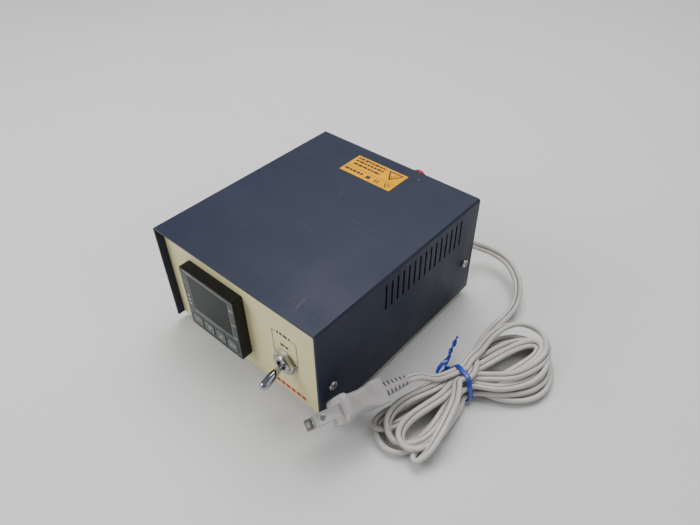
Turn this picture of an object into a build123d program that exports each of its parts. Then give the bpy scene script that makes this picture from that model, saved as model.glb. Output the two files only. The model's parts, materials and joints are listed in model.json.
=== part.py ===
"""Bench temperature controller: a vented steel case with a panel-mounted 48 mm
controller, a toggle power switch, rear terminals, and a mains cord tied in a hank.

Millimetres. X to the right seen from the front, Y to the back, Z up. The origin is on the
bench, under the middle of the instrument's own box (its cord left out).
"""
from build123d import *
import os
from math import cos, pi, radians, sin, tan

os.makedirs("parts", exist_ok=True)

# ---- driving dimensions -------------------------------------------------------------

CASE_W, CASE_D, CASE_H = 132.3, 148.8, 74.1     # folded cover, outside
FOOT_H = 5.0                                    # cover's lower edge above the bench
SHEET = 1.2                                     # cover and tray
PANEL_T = 1.5                                   # front and rear panels
SLIDE_GAP = 0.15                                # between the cover and what it slides over
FRONT_INSET, REAR_INSET = 4.8, 2.0              # panels set back from the cover's edges

BEZEL = 48.0                                    # 1/16 DIN controller front
CUTOUT = 45.0                                   # its panel cut-out
CONTROLLER_X, CONTROLLER_Z = -18.5, 40.0
SWITCH_X, SWITCH_Z = 36.6, 33.6
LEVER_TILT = 17.0                               # degrees below level when off
LEVER_THROW = 2 * LEVER_TILT

TERMINAL_SPACING = 19.05                        # red above black
TERMINAL_X, RED_Z = 10.0, 64.0
BLACK_Z = RED_Z - TERMINAL_SPACING
FUSE_X, FUSE_Z = 24.0, 38.0
OUTLET_X, OUTLET_Z = -38.0, 50.0
EXIT_X, EXIT_Z = 50.0, 24.0                     # mains cord through the rear panel

CORD_W = 6.2                                    # flat twin flex, across its two cores
BLADE_GAP, BLADE_W, BLADE_T, BLADE_L = 12.7, 6.35, 1.5, 17.5

# ---- levels and faces worked out from them --------------------------------------------

COVER_Z0 = FOOT_H
COVER_Z1 = FOOT_H + CASE_H
FRONT_Y = -CASE_D / 2 + FRONT_INSET             # front panel's outer face
REAR_Y = CASE_D / 2 - REAR_INSET                # rear panel's outer face
SIDE_X = CASE_W / 2                             # cover's side, outer face
INNER_X = SIDE_X - SHEET - SLIDE_GAP            # outer face of all that the cover hugs
TRAY_TOP = COVER_Z0 + SHEET
PANEL_Z0 = TRAY_TOP + 0.05
PANEL_Z1 = COVER_Z1 - SHEET - 0.3
PANEL_BACK = FRONT_Y + PANEL_T
REAR_INSIDE = REAR_Y - PANEL_T

SWITCH_PIVOT_Y = FRONT_Y - 1.0
LEVER_R, LEVER_LEN = 2.8, 17.0                  # bat end, and its centre from the pivot
REACH = -SWITCH_PIVOT_Y + LEVER_LEN * cos(radians(LEVER_TILT)) + LEVER_R

SCREWS_YZ = ((-64.3, 32.2), (64.6, 32.9))       # cover screws, each side
VENTS, VENT_PITCH, VENT_LEN, VENT_WIDTH = 15, 5.22, 19.0, 1.6
VENT_Y, VENT_Z = 18.05, 63.9
FEET_XY = ((-52, -54), (52, -54), (-52, 54), (52, 54))
RIVETS_XY = ((-30, FRONT_Y + 7), (30, FRONT_Y + 7), (-30, REAR_Y - 7), (30, REAR_Y - 7))
SHANK_R = 1.45                                  # M3 screws, in 3 mm holes
RUN_FIT = 0.08                                  # radial clearance of a turning fit


# ---- helpers that add to the part being built ----------------------------------------

def brick(xs, ys, zs, mode=Mode.ADD):
    """A box between three (low, high) pairs."""
    with Locations(((xs[0] + xs[1]) / 2, (ys[0] + ys[1]) / 2, (zs[0] + zs[1]) / 2)):
        Box(xs[1] - xs[0], ys[1] - ys[0], zs[1] - zs[0], mode=mode)


def rod_y(x, z, radius, ys, mode=Mode.ADD):
    """A cylinder along Y."""
    with Locations(Location((x, (ys[0] + ys[1]) / 2, z), (90, 0, 0))):
        Cylinder(radius, ys[1] - ys[0], mode=mode)


def rod_x(y, z, radius, xs, mode=Mode.ADD):
    """A cylinder along X."""
    with Locations(Location(((xs[0] + xs[1]) / 2, y, z), (0, 90, 0))):
        Cylinder(radius, xs[1] - xs[0], mode=mode)


def rod_z(x, y, radius, zs, mode=Mode.ADD):
    """A cylinder along Z."""
    with Locations((x, y, (zs[0] + zs[1]) / 2)):
        Cylinder(radius, zs[1] - zs[0], mode=mode)


def save(piece, name):
    """Label a finished piece and write its STEP file."""
    piece.part.label = name
    export_step(piece.part, f"parts/{name}.step")


def across(x0, x1):
    """A low, high pair, whichever way round it was given."""
    return (min(x0, x1), max(x0, x1))


# ---- case: cover, tray, panels ---------------------------------------------------------

with BuildPart() as top_cover:
    with BuildSketch(Plane.XZ.offset(-CASE_D / 2)) as cover_profile:
        with Locations((0, COVER_Z0 + CASE_H / 2)):
            Rectangle(CASE_W, CASE_H)
        with Locations((0, COVER_Z0 + (CASE_H - SHEET) / 2)):
            Rectangle(CASE_W - 2 * SHEET, CASE_H - SHEET, mode=Mode.SUBTRACT)
        fillet(cover_profile.vertices().group_by(Axis.Y)[-2], 0.6)
        fillet(cover_profile.vertices().group_by(Axis.Y)[-1], 1.7)
    extrude(amount=CASE_D)
    with BuildSketch(Plane.YZ):
        with Locations((VENT_Y, VENT_Z)):
            with GridLocations(VENT_PITCH, 1, VENTS, 1):
                SlotOverall(VENT_LEN, VENT_WIDTH, rotation=90)
        with Locations(*SCREWS_YZ):
            Circle(1.7)
    extrude(amount=CASE_W, both=True, mode=Mode.SUBTRACT)
save(top_cover, "top_cover")

TRAY_SIDE = 13.0
with BuildPart() as base_tray:
    brick((-INNER_X, INNER_X), (FRONT_Y, REAR_Y), (COVER_Z0, TRAY_TOP))
    for side in (-1, 1):
        walls = across(side * INNER_X, side * (INNER_X - SHEET))
        brick(walls, (PANEL_BACK + 0.1, REAR_INSIDE - 0.1), (TRAY_TOP, COVER_Z0 + TRAY_SIDE))
    for x, y in FEET_XY + RIVETS_XY:
        rod_z(x, y, 1.6, (0, 20), Mode.SUBTRACT)
    with BuildSketch(Plane.XY):
        with Locations((0, -22)):
            with GridLocations(6.0, 1, 9, 1):
                SlotOverall(24, 2.0, rotation=90)
    extrude(amount=TRAY_TOP + 1, mode=Mode.SUBTRACT)
save(base_tray, "base_tray")

FLANGE = 12.0


def panel_blank(face_y, inward):
    """A panel with its bottom and side flanges folded towards `inward` (+1 or -1)."""
    plate = across(face_y, face_y + inward * PANEL_T)
    deep = across(face_y, face_y + inward * FLANGE)
    brick((-INNER_X, INNER_X), plate, (PANEL_Z0, PANEL_Z1))
    brick((-INNER_X + 2, INNER_X - 2), deep, (PANEL_Z0, PANEL_Z0 + PANEL_T))
    for side in (-1, 1):
        brick(across(side * INNER_X, side * (INNER_X - PANEL_T)), deep, (22, 70))


with BuildPart() as front_panel:
    panel_blank(FRONT_Y, 1)
    front_edge = front_panel.edges().filter_by(Axis.X).group_by(Axis.Y)[0].group_by(Axis.Z)[0]
    fillet(front_edge, 0.7)
    brick((CONTROLLER_X - CUTOUT / 2, CONTROLLER_X + CUTOUT / 2), (FRONT_Y - 1, PANEL_BACK + 1),
          (CONTROLLER_Z - CUTOUT / 2, CONTROLLER_Z + CUTOUT / 2), Mode.SUBTRACT)
    rod_y(SWITCH_X, SWITCH_Z, 6.1, (FRONT_Y - 1, PANEL_BACK + 1), Mode.SUBTRACT)
    rod_x(*SCREWS_YZ[0], 1.5, (-CASE_W, CASE_W), Mode.SUBTRACT)
    for x, y in RIVETS_XY[:2]:
        rod_z(x, y, 1.6, (0, 20), Mode.SUBTRACT)
save(front_panel, "front_panel")

OUTLET_W, OUTLET_H = 27.0, 21.0
with BuildPart() as rear_panel:
    panel_blank(REAR_Y, -1)
    rear_wall = (REAR_INSIDE - 1, REAR_Y + 1)
    for z in (RED_Z, BLACK_Z):
        rod_y(TERMINAL_X, z, 4.1, rear_wall, Mode.SUBTRACT)
    rod_y(FUSE_X, FUSE_Z, 6.6, rear_wall, Mode.SUBTRACT)
    rod_y(EXIT_X, EXIT_Z, 6.4, rear_wall, Mode.SUBTRACT)
    brick((OUTLET_X - OUTLET_W / 2, OUTLET_X + OUTLET_W / 2), rear_wall,
          (OUTLET_Z - OUTLET_H / 2, OUTLET_Z + OUTLET_H / 2), Mode.SUBTRACT)
    rod_x(*SCREWS_YZ[1], 1.5, (-CASE_W, CASE_W), Mode.SUBTRACT)
    for x, y in RIVETS_XY[2:]:
        rod_z(x, y, 1.6, (0, 20), Mode.SUBTRACT)
save(rear_panel, "rear_panel")

HEAD_R, HEAD_H = 2.9, 2.1
with BuildPart() as cover_screws:
    for side in (-1, 1):
        for y, z in SCREWS_YZ:
            seat = Plane((side * SIDE_X, y, z), x_dir=(0, 1, 0), z_dir=(side, 0, 0))
            with BuildSketch(seat):
                Circle(HEAD_R)
            extrude(amount=HEAD_H)
            crown = cover_screws.faces().sort_by_distance(seat.offset(HEAD_H).origin)[0]
            fillet(crown.edges(), 1.3)
            with BuildSketch(seat.offset(HEAD_H)):
                Rectangle(3.2, 0.7)
                Rectangle(0.7, 3.2)
            extrude(amount=-1.1, mode=Mode.SUBTRACT)
            with BuildSketch(seat):
                Circle(SHANK_R)
            extrude(amount=-6)
save(cover_screws, "cover_screws")

FOOT_TOP_R, FOOT_LOW_R, RECESS_R, RECESS_H = 6.2, 5.3, 3.3, 2.6
with BuildPart() as rubber_feet:
    for x, y in FEET_XY:
        with Locations((x, y, FOOT_H / 2)):
            Cone(FOOT_LOW_R, FOOT_TOP_R, FOOT_H)
        rod_z(x, y, RECESS_R, (0, RECESS_H), Mode.SUBTRACT)
        rod_z(x, y, 1.6, (0, FOOT_H), Mode.SUBTRACT)
save(rubber_feet, "rubber_feet")

with BuildPart() as foot_screws:
    for x, y in FEET_XY:
        rod_z(x, y, 2.8, (0.7, RECESS_H))
        rod_z(x, y, SHANK_R, (RECESS_H, TRAY_TOP + 4))
save(foot_screws, "foot_screws")

with BuildPart() as foot_nuts:
    for x, y in FEET_XY:
        with BuildSketch(Plane.XY.offset(TRAY_TOP)):
            with Locations((x, y)):
                RegularPolygon(3.1, 6)
                Circle(1.5, mode=Mode.SUBTRACT)
        extrude(amount=2.4)
save(foot_nuts, "foot_nuts")

with BuildPart() as chassis_rivets:
    for x, y in RIVETS_XY:
        rod_z(x, y, 3.0, (COVER_Z0 - 0.9, COVER_Z0))
        rod_z(x, y, 1.55, (COVER_Z0, PANEL_Z0 + PANEL_T))
        rod_z(x, y, 2.6, (PANEL_Z0 + PANEL_T, PANEL_Z0 + PANEL_T + 0.8))
save(chassis_rivets, "chassis_rivets")

# ---- controller -------------------------------------------------------------------------

BEZEL_DEPTH = 7.0
GASKET_T = 0.5
BEZEL_BACK = FRONT_Y - GASKET_T
BEZEL_FRONT = BEZEL_BACK - BEZEL_DEPTH
FACE, FACE_T = 47.0, 1.0
FACE_FRONT = BEZEL_FRONT + 0.1
FACE_BACK = FACE_FRONT + FACE_T
CASE_OUT, CASE_WALL = 44.8, 1.8
CASE_END = FRONT_Y + 65
WINDOW_W, WINDOW_H = 36.0, 27.6
WINDOW_U, WINDOW_V = 0.8, 7.3                   # window's centre on the face
KEY_PITCH, KEY_V = 10.8, -16.5
KEY_W, KEY_H = 8.6, 7.4
KEY_NAMES = ("mode_key", "down_key", "up_key", "set_key")
KEY_CENTRES = [CONTROLLER_X + KEY_PITCH * (i - 1.5) for i in range(len(KEY_NAMES))]
KEY_Z = CONTROLLER_Z + KEY_V


def face_plane(y):
    """The controller's front view at depth y: x to the right, y up, normal outward."""
    return Plane((CONTROLLER_X, y, CONTROLLER_Z), x_dir=(1, 0, 0), z_dir=(0, -1, 0))


with BuildPart() as controller_bezel:
    with BuildSketch(face_plane(BEZEL_BACK)):
        RectangleRounded(BEZEL, BEZEL, 1.0)
    extrude(amount=BEZEL_DEPTH)
    chamfer(controller_bezel.faces().sort_by(Axis.Y)[0].edges(), 0.25)
    with BuildSketch(face_plane(BEZEL_FRONT)):
        RectangleRounded(FACE + 0.2, FACE + 0.2, 0.8)
    extrude(amount=-(FACE_BACK - BEZEL_FRONT), mode=Mode.SUBTRACT)
    with BuildSketch(face_plane(BEZEL_FRONT)):
        Rectangle(43.2, 43.2)
    extrude(amount=-BEZEL_DEPTH, mode=Mode.SUBTRACT)
save(controller_bezel, "controller_bezel")

with BuildPart() as controller_gasket:
    with BuildSketch(face_plane(FRONT_Y)):
        RectangleRounded(BEZEL - 0.4, BEZEL - 0.4, 1.6)
        Rectangle(CUTOUT + 0.1, CUTOUT + 0.1, mode=Mode.SUBTRACT)
    extrude(amount=GASKET_T)
save(controller_gasket, "controller_gasket")

with BuildPart() as controller_face:
    with BuildSketch(face_plane(FACE_BACK)):
        RectangleRounded(FACE, FACE, 0.7)
        with Locations((WINDOW_U, WINDOW_V)):
            RectangleRounded(WINDOW_W, WINDOW_H, 0.8, mode=Mode.SUBTRACT)
        with Locations((0, KEY_V)):
            with GridLocations(KEY_PITCH, 1, len(KEY_NAMES), 1):
                RectangleRounded(KEY_W + 0.6, KEY_H + 0.6, 1.0, mode=Mode.SUBTRACT)
    extrude(amount=FACE_T)
save(controller_face, "controller_face")

with BuildPart() as display_lens:
    with BuildSketch(face_plane(FACE_BACK - 0.05)):
        with Locations((WINDOW_U, WINDOW_V)):
            RectangleRounded(WINDOW_W - 0.1, WINDOW_H - 0.1, 0.7)
    extrude(amount=FACE_T - 0.1)
save(display_lens, "display_lens")

DISPLAY_BACK = FACE_BACK + 5.5
with BuildPart() as display_module:
    with BuildSketch(face_plane(DISPLAY_BACK)):
        with Locations((WINDOW_U, WINDOW_V)):
            Rectangle(WINDOW_W + 1.6, WINDOW_H + 0.6)
    extrude(amount=DISPLAY_BACK - FACE_BACK)
    with BuildSketch(face_plane(FACE_BACK)):
        with Locations((WINDOW_U, WINDOW_V)):
            with GridLocations(8.4, 11.5, 4, 2):
                Rectangle(5.6, 9.0)
    extrude(amount=-0.5, mode=Mode.SUBTRACT)
save(display_module, "display_module")

KEY_TRAVEL = 0.5
KEY_PROUD = 0.3
KEY_BACK = FACE_BACK + 1.2
for name, x in zip(KEY_NAMES, KEY_CENTRES):
    with BuildPart() as key:
        with BuildSketch(Plane((x, KEY_BACK, KEY_Z), x_dir=(1, 0, 0), z_dir=(0, -1, 0))) as cap:
            RectangleRounded(KEY_W, KEY_H, 0.9)
        extrude(amount=KEY_BACK - FACE_FRONT + KEY_PROUD)
        fillet(key.faces().sort_by(Axis.Y)[0].edges(), 0.25)
        brick((x - 4.9, x + 4.9), (FACE_BACK + 0.3, FACE_BACK + 0.9), (KEY_Z - 4.1, KEY_Z + 4.1))
    save(key, name)

BOARD_Y = FACE_BACK + 6.0
with BuildPart() as front_board:
    brick((CONTROLLER_X - 20.3, CONTROLLER_X + 20.3), (BOARD_Y, BOARD_Y + 1.6),
          (CONTROLLER_Z - 20.3, CONTROLLER_Z + 20.3))
save(front_board, "front_board")

with BuildPart() as tact_switches:
    for x in KEY_CENTRES:
        brick((x - 3, x + 3), (KEY_BACK + 1.6, BOARD_Y), (KEY_Z - 2.6, KEY_Z + 3.4))
        rod_y(x, KEY_Z, 1.6, (KEY_BACK + KEY_TRAVEL + 0.2, KEY_BACK + 1.6))
save(tact_switches, "tact_switches")

with BuildPart() as controller_case:
    with BuildSketch(face_plane(CASE_END)):
        Rectangle(CASE_OUT, CASE_OUT)
    extrude(amount=CASE_END - BEZEL_BACK)
    with BuildSketch(face_plane(BEZEL_BACK)):
        Rectangle(CASE_OUT - 2 * CASE_WALL, CASE_OUT - 2 * CASE_WALL)
    extrude(amount=-(CASE_END - BEZEL_BACK - CASE_WALL), mode=Mode.SUBTRACT)
save(controller_case, "controller_case")

with BuildPart() as main_board:
    board_x = CONTROLLER_X + 8
    brick((board_x, board_x + 1.6), (BOARD_Y + 2.4, CASE_END - 3), (CONTROLLER_Z - 19, CONTROLLER_Z + 19))
    brick((board_x - 16, board_x), (-38, -18), (CONTROLLER_Z - 10, CONTROLLER_Z + 8))
    brick((board_x - 12, board_x), (-56, -44), (CONTROLLER_Z - 16, CONTROLLER_Z - 2))
    rod_x(-50, CONTROLLER_Z + 10, 5, (board_x - 14, board_x))
save(main_board, "main_board")

with BuildPart() as controller_terminals:
    brick((CONTROLLER_X - 20, CONTROLLER_X + 20), (CASE_END, CASE_END + 8),
          (CONTROLLER_Z - 18, CONTROLLER_Z + 18))
    with BuildSketch(face_plane(CASE_END + 8)):
        with GridLocations(13, 6.2, 3, 5):
            Rectangle(9, 4.8)
    extrude(amount=5, mode=Mode.SUBTRACT)
save(controller_terminals, "controller_terminals")

with BuildPart() as controller_terminal_screws:
    for column in (-13, 0, 13):
        for row in range(-2, 3):
            rod_y(CONTROLLER_X + column, CONTROLLER_Z + 6.2 * row, 2.0, (CASE_END + 3, CASE_END + 6))
save(controller_terminal_screws, "controller_terminal_screws")

with BuildPart() as controller_clip:
    with BuildSketch(face_plane(PANEL_BACK + 9)):
        RectangleRounded(51, 51, 2)
        Rectangle(CASE_OUT + 0.2, CASE_OUT + 0.2, mode=Mode.SUBTRACT)
    extrude(amount=9)
save(controller_clip, "controller_clip")

# ---- toggle switch ------------------------------------------------------------------------

WASHER_T, NUT_T = 0.8, 2.4
BUSHING_R, BUSHING_END = 5.95, FRONT_Y - 4.2
PIVOT = (SWITCH_X, SWITCH_PIVOT_Y, SWITCH_Z)
BALL_R, NECK_R = 2.5, 1.6
PIN_HALF = 2.7                                  # the ball turns on a cross pin, to each side

with BuildPart() as toggle_bushing:
    rod_y(SWITCH_X, SWITCH_Z, BUSHING_R, (BUSHING_END, PANEL_BACK + 0.5))
    chamfer(toggle_bushing.faces().sort_by(Axis.Y)[0].edges(), 0.5)
    rod_y(SWITCH_X, SWITCH_Z, BALL_R + 0.35, (SWITCH_PIVOT_Y - 1.5, PANEL_BACK + 1), Mode.SUBTRACT)
    mouth = -(BUSHING_END - 0.1 - SWITCH_PIVOT_Y)
    with Locations(Location((SWITCH_X, SWITCH_PIVOT_Y - mouth / 2, SWITCH_Z), (90, 0, 0))):
        Cone(BALL_R + 0.35, mouth * tan(radians(LEVER_TILT)) + NECK_R + 0.75, mouth, mode=Mode.SUBTRACT)
save(toggle_bushing, "toggle_bushing")

with BuildPart() as toggle_body:
    brick((SWITCH_X - 7, SWITCH_X + 7), (PANEL_BACK + 0.5, PANEL_BACK + 17), (SWITCH_Z - 14, SWITCH_Z + 14))
    rod_y(SWITCH_X, SWITCH_Z, BALL_R + 0.35, (PANEL_BACK, PANEL_BACK + 4), Mode.SUBTRACT)
save(toggle_body, "toggle_body")

with BuildPart() as toggle_lugs:
    for dx in (-3.6, 3.6):
        for dz in (-9, 0, 9):
            z = SWITCH_Z + dz
            brick((SWITCH_X + dx - 0.4, SWITCH_X + dx + 0.4), (PANEL_BACK + 17, PANEL_BACK + 26),
                  (z - 2.2, z + 2.2))
save(toggle_lugs, "toggle_lugs")

with BuildPart() as toggle_washer:
    rod_y(SWITCH_X, SWITCH_Z, 8.7, (FRONT_Y - WASHER_T, FRONT_Y))
    rod_y(SWITCH_X, SWITCH_Z, 6.0, (FRONT_Y - 2, FRONT_Y + 1), Mode.SUBTRACT)
save(toggle_washer, "toggle_washer")

switch_plane = Plane((SWITCH_X, FRONT_Y - WASHER_T, SWITCH_Z), x_dir=(1, 0, 0), z_dir=(0, -1, 0))
with BuildPart() as toggle_nut:
    with BuildSketch(switch_plane):
        RegularPolygon(8.4, 6, rotation=12)
    extrude(amount=NUT_T)
    with BuildSketch(Plane((SWITCH_X, FRONT_Y, SWITCH_Z), x_dir=(0, -1, 0), z_dir=(0, 0, 1))):
        with BuildLine():
            Polyline((0, 0), (0, 8.6), (WASHER_T + NUT_T - 0.9, 8.6), (WASHER_T + NUT_T, 7.3),
                     (WASHER_T + NUT_T, 0), close=True)
        make_face()
    revolve(axis=Axis((SWITCH_X, 0, SWITCH_Z), (0, 1, 0)), mode=Mode.INTERSECT)
    rod_y(SWITCH_X, SWITCH_Z, 6.0, (FRONT_Y - 9, FRONT_Y + 1), Mode.SUBTRACT)
save(toggle_nut, "toggle_nut")

tilt = radians(LEVER_TILT)
lever_plane = Plane(PIVOT, x_dir=(0, -cos(tilt), -sin(tilt)), z_dir=(1, 0, 0))
NECK_AT = (BALL_R ** 2 - NECK_R ** 2) ** 0.5    # where the neck leaves the ball
with BuildPart() as toggle_lever:
    with BuildSketch(lever_plane):
        with BuildLine():
            ThreePointArc((-BALL_R, 0), (0, BALL_R), (NECK_AT, NECK_R))
            Line((NECK_AT, NECK_R), (4.6, NECK_R))
            Spline((4.6, NECK_R), (9.0, 2.45), (LEVER_LEN, LEVER_R), tangents=((1, 0.25), (1, 0.0)))
            ThreePointArc((LEVER_LEN, LEVER_R),
                          (LEVER_LEN + LEVER_R * cos(pi / 4), LEVER_R * sin(pi / 4)),
                          (LEVER_LEN + LEVER_R, 0))
            Line((LEVER_LEN + LEVER_R, 0), (-BALL_R, 0))
        make_face()
    revolve(axis=Axis(PIVOT, (0, -cos(tilt), -sin(tilt))))
    rod_x(SWITCH_PIVOT_Y, SWITCH_Z, 0.7, (SWITCH_X - PIN_HALF, SWITCH_X + PIN_HALF))
save(toggle_lever, "toggle_lever")

# ---- rear fittings ------------------------------------------------------------------------

COLLAR_T = 3.0
KNOB_Y0 = REAR_Y + COLLAR_T + 0.3
KNOB_R = 5.9
SCREW_TRAVEL = 2.1                              # three turns of M4 x 0.7
STUD_R, INSERT_R = 2.0, 2.95
STUD_END = KNOB_Y0 + 9.5
INSERT_END = KNOB_Y0 + 10.0

with BuildPart() as terminal_studs:
    for z in (RED_Z, BLACK_Z):
        rod_y(TERMINAL_X, z, STUD_R, (REAR_INSIDE - 12, STUD_END))
save(terminal_studs, "terminal_studs")

with BuildPart() as terminal_nuts:
    for z in (RED_Z, BLACK_Z):
        for y in (REAR_INSIDE - 5.4, REAR_INSIDE - 9.4):
            with BuildSketch(Plane((TERMINAL_X, y, z), x_dir=(1, 0, 0), z_dir=(0, 1, 0))):
                RegularPolygon(4.0, 6)
                Circle(STUD_R + 0.02, mode=Mode.SUBTRACT)
            extrude(amount=3.2)
save(terminal_nuts, "terminal_nuts")


def terminal(colour, z):
    """The insulating collar, the threaded insert and the ribbed knob of one terminal."""
    with BuildPart() as collar:
        rod_y(TERMINAL_X, z, 6.2, (REAR_Y, REAR_Y + COLLAR_T))
        rod_y(TERMINAL_X, z, 4.0, (REAR_INSIDE, REAR_Y))
        rod_y(TERMINAL_X, z, 5.6, (REAR_INSIDE - 2.2, REAR_INSIDE))
        rod_y(TERMINAL_X, z, STUD_R + 0.05, (REAR_INSIDE - 5, REAR_Y + 5), Mode.SUBTRACT)
        fillet(collar.faces().sort_by(Axis.Y)[-1].edges().sort_by(SortBy.LENGTH)[-1], 0.6)
    save(collar, f"{colour}_terminal_collar")

    with BuildPart() as insert:
        rod_y(TERMINAL_X, z, INSERT_R, (KNOB_Y0 + 0.2, INSERT_END))
        rod_y(TERMINAL_X, z, STUD_R + RUN_FIT, (KNOB_Y0 - 1, INSERT_END + 1), Mode.SUBTRACT)
    save(insert, f"{colour}_terminal_insert")

    with BuildPart() as knob:
        rod_y(TERMINAL_X, z, KNOB_R, (KNOB_Y0, REACH))
        fillet(knob.faces().sort_by(Axis.Y)[-1].edges(), 1.0)
        with BuildSketch(Plane((TERMINAL_X, KNOB_Y0, z), x_dir=(1, 0, 0), z_dir=(0, 1, 0))):
            with PolarLocations(KNOB_R + 0.25, 16):
                Circle(0.6)
        extrude(amount=REACH - KNOB_Y0 - 3.0, mode=Mode.SUBTRACT)
        rod_y(TERMINAL_X, z, INSERT_R + RUN_FIT, (KNOB_Y0 - 1, INSERT_END + 0.4), Mode.SUBTRACT)
    save(knob, f"{colour}_terminal_knob")


terminal("red", RED_Z)
terminal("black", BLACK_Z)

HOLDER_R, HOLDER_IN = 6.5, 34.0
FUSE_R, FUSE_LEN = 3.15, 30.0
HOLDER_FACE = REAR_Y + 3.0
with BuildPart() as fuse_holder:
    rod_y(FUSE_X, FUSE_Z, HOLDER_R, (REAR_Y - HOLDER_IN, REAR_Y))
    rod_y(FUSE_X, FUSE_Z, 8.0, (REAR_Y, HOLDER_FACE))
    fillet(fuse_holder.faces().sort_by(Axis.Y)[-1].edges(), 0.8)
    rod_y(FUSE_X, FUSE_Z, 5.3, (REAR_Y - HOLDER_IN + 1.5, HOLDER_FACE + 1), Mode.SUBTRACT)
save(fuse_holder, "fuse_holder")

with BuildPart() as fuse_nut:
    with BuildSketch(Plane((FUSE_X, REAR_INSIDE - 3, FUSE_Z), x_dir=(1, 0, 0), z_dir=(0, 1, 0))):
        RegularPolygon(9.2, 6)
        Circle(HOLDER_R + 0.05, mode=Mode.SUBTRACT)
    extrude(amount=3.0)
save(fuse_nut, "fuse_nut")

with BuildPart() as fuse_cap:
    rod_y(FUSE_X, FUSE_Z, 5.2, (REAR_Y - 6, HOLDER_FACE))
    rod_y(FUSE_X, FUSE_Z, 6.6, (HOLDER_FACE + 0.2, HOLDER_FACE + 3.4))
    rod_y(FUSE_X, FUSE_Z, 5.2, (HOLDER_FACE - 1, HOLDER_FACE + 1))
    fillet(fuse_cap.faces().sort_by(Axis.Y)[-1].edges(), 0.9)
    brick((FUSE_X - 5, FUSE_X + 5), (HOLDER_FACE + 2.2, HOLDER_FACE + 5), (FUSE_Z - 0.7, FUSE_Z + 0.7),
          Mode.SUBTRACT)
    rod_y(FUSE_X, FUSE_Z, FUSE_R + 0.05, (REAR_Y - 7, REAR_Y - 2), Mode.SUBTRACT)
save(fuse_cap, "fuse_cap")

with BuildPart() as fuse_link:
    fuse_end = REAR_Y - 2
    rod_y(FUSE_X, FUSE_Z, FUSE_R, (fuse_end - FUSE_LEN, fuse_end))
save(fuse_link, "fuse_link")

OUTLET_FACE = REAR_Y + 2.6
outlet_plane = Plane((OUTLET_X, OUTLET_FACE, OUTLET_Z), x_dir=(-1, 0, 0), z_dir=(0, 1, 0))
with BuildPart() as outlet_body:
    with BuildSketch(Plane((OUTLET_X, REAR_Y, OUTLET_Z), x_dir=(-1, 0, 0), z_dir=(0, 1, 0))):
        RectangleRounded(32, 26, 3)
    extrude(amount=OUTLET_FACE - REAR_Y)
    fillet(outlet_body.faces().sort_by(Axis.Y)[-1].edges(), 0.9)
    brick((OUTLET_X - OUTLET_W / 2 + 0.2, OUTLET_X + OUTLET_W / 2 - 0.2), (REAR_Y - 19, REAR_Y),
          (OUTLET_Z - OUTLET_H / 2 + 0.2, OUTLET_Z + OUTLET_H / 2 - 0.2))
    with BuildSketch(outlet_plane):
        with GridLocations(BLADE_GAP, 1, 2, 1):
            Rectangle(2.2, 7.2)
    extrude(amount=-18.5, mode=Mode.SUBTRACT)
save(outlet_body, "outlet_body")

with BuildPart() as outlet_contacts:
    for dx in (-BLADE_GAP / 2, BLADE_GAP / 2):
        x = OUTLET_X + dx
        brick((x - 0.3, x + 0.3), (REAR_Y - 26, REAR_Y - 19), (OUTLET_Z - 3, OUTLET_Z + 3))
save(outlet_contacts, "outlet_contacts")

# ---- power parts inside -------------------------------------------------------------------

SINK_X, SINK_Y, SINK_T = (-61.0, 9.0), (2.0, 50.4), 4.0
with BuildPart() as heat_sink:
    brick(SINK_X, SINK_Y, (TRAY_TOP, TRAY_TOP + SINK_T))
    for i in range(3):
        fin_x = SINK_X[0] + 0.8 + 3.4 * i
        brick((fin_x, fin_x + 1.4), SINK_Y, (TRAY_TOP + SINK_T, TRAY_TOP + SINK_T + 20))
save(heat_sink, "heat_sink")

RELAY_X, RELAY_Y = (-50.0, 8.0), (5.0, 49.5)
RELAY_Z = (TRAY_TOP + SINK_T, TRAY_TOP + SINK_T + 22)
RELAY_SCREWS = ((RELAY_X[0] + 6, RELAY_Y[0] + 10), (RELAY_X[1] - 6, RELAY_Y[0] + 10),
                (RELAY_X[0] + 6, RELAY_Y[1] - 10), (RELAY_X[1] - 6, RELAY_Y[1] - 10))
with BuildPart() as relay_module:
    brick(RELAY_X, RELAY_Y, RELAY_Z)
    fillet(relay_module.edges().filter_by(Axis.Z), 2.0)
    for x, y in RELAY_SCREWS:
        brick((x - 5, x + 5), (y - 6, y + 6), (RELAY_Z[1] - 9, RELAY_Z[1] + 1), Mode.SUBTRACT)
save(relay_module, "relay_module")

with BuildPart() as relay_screws:
    for x, y in RELAY_SCREWS:
        rod_z(x, y, 3.6, (RELAY_Z[1] - 9, RELAY_Z[1] - 6.5))
save(relay_screws, "relay_screws")

BLOCK_X, BLOCK_Y, BLOCK_H = (11.0, 33.0), (2.0, 56.0), 15.0
BLOCK_PITCH = 10.6
with BuildPart() as terminal_block:
    brick(BLOCK_X, BLOCK_Y, (TRAY_TOP, TRAY_TOP + BLOCK_H))
    for i in range(5):
        y = BLOCK_Y[0] + 1.3 + BLOCK_PITCH * i
        for xs in ((BLOCK_X[0] - 1, BLOCK_X[0] + 9), (BLOCK_X[1] - 9, BLOCK_X[1] + 1)):
            brick(xs, (y, y + 9), (TRAY_TOP + 8, TRAY_TOP + BLOCK_H + 1), Mode.SUBTRACT)
save(terminal_block, "terminal_block")

with BuildPart() as terminal_block_screws:
    for i in range(5):
        y = BLOCK_Y[0] + 5.8 + BLOCK_PITCH * i
        for x in (BLOCK_X[0] + 4.8, BLOCK_X[1] - 4.8):
            rod_z(x, y, 3.0, (TRAY_TOP + 8, TRAY_TOP + 10.4))
save(terminal_block_screws, "terminal_block_screws")

# ---- caution label on the cover ----------------------------------------------------------

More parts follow.
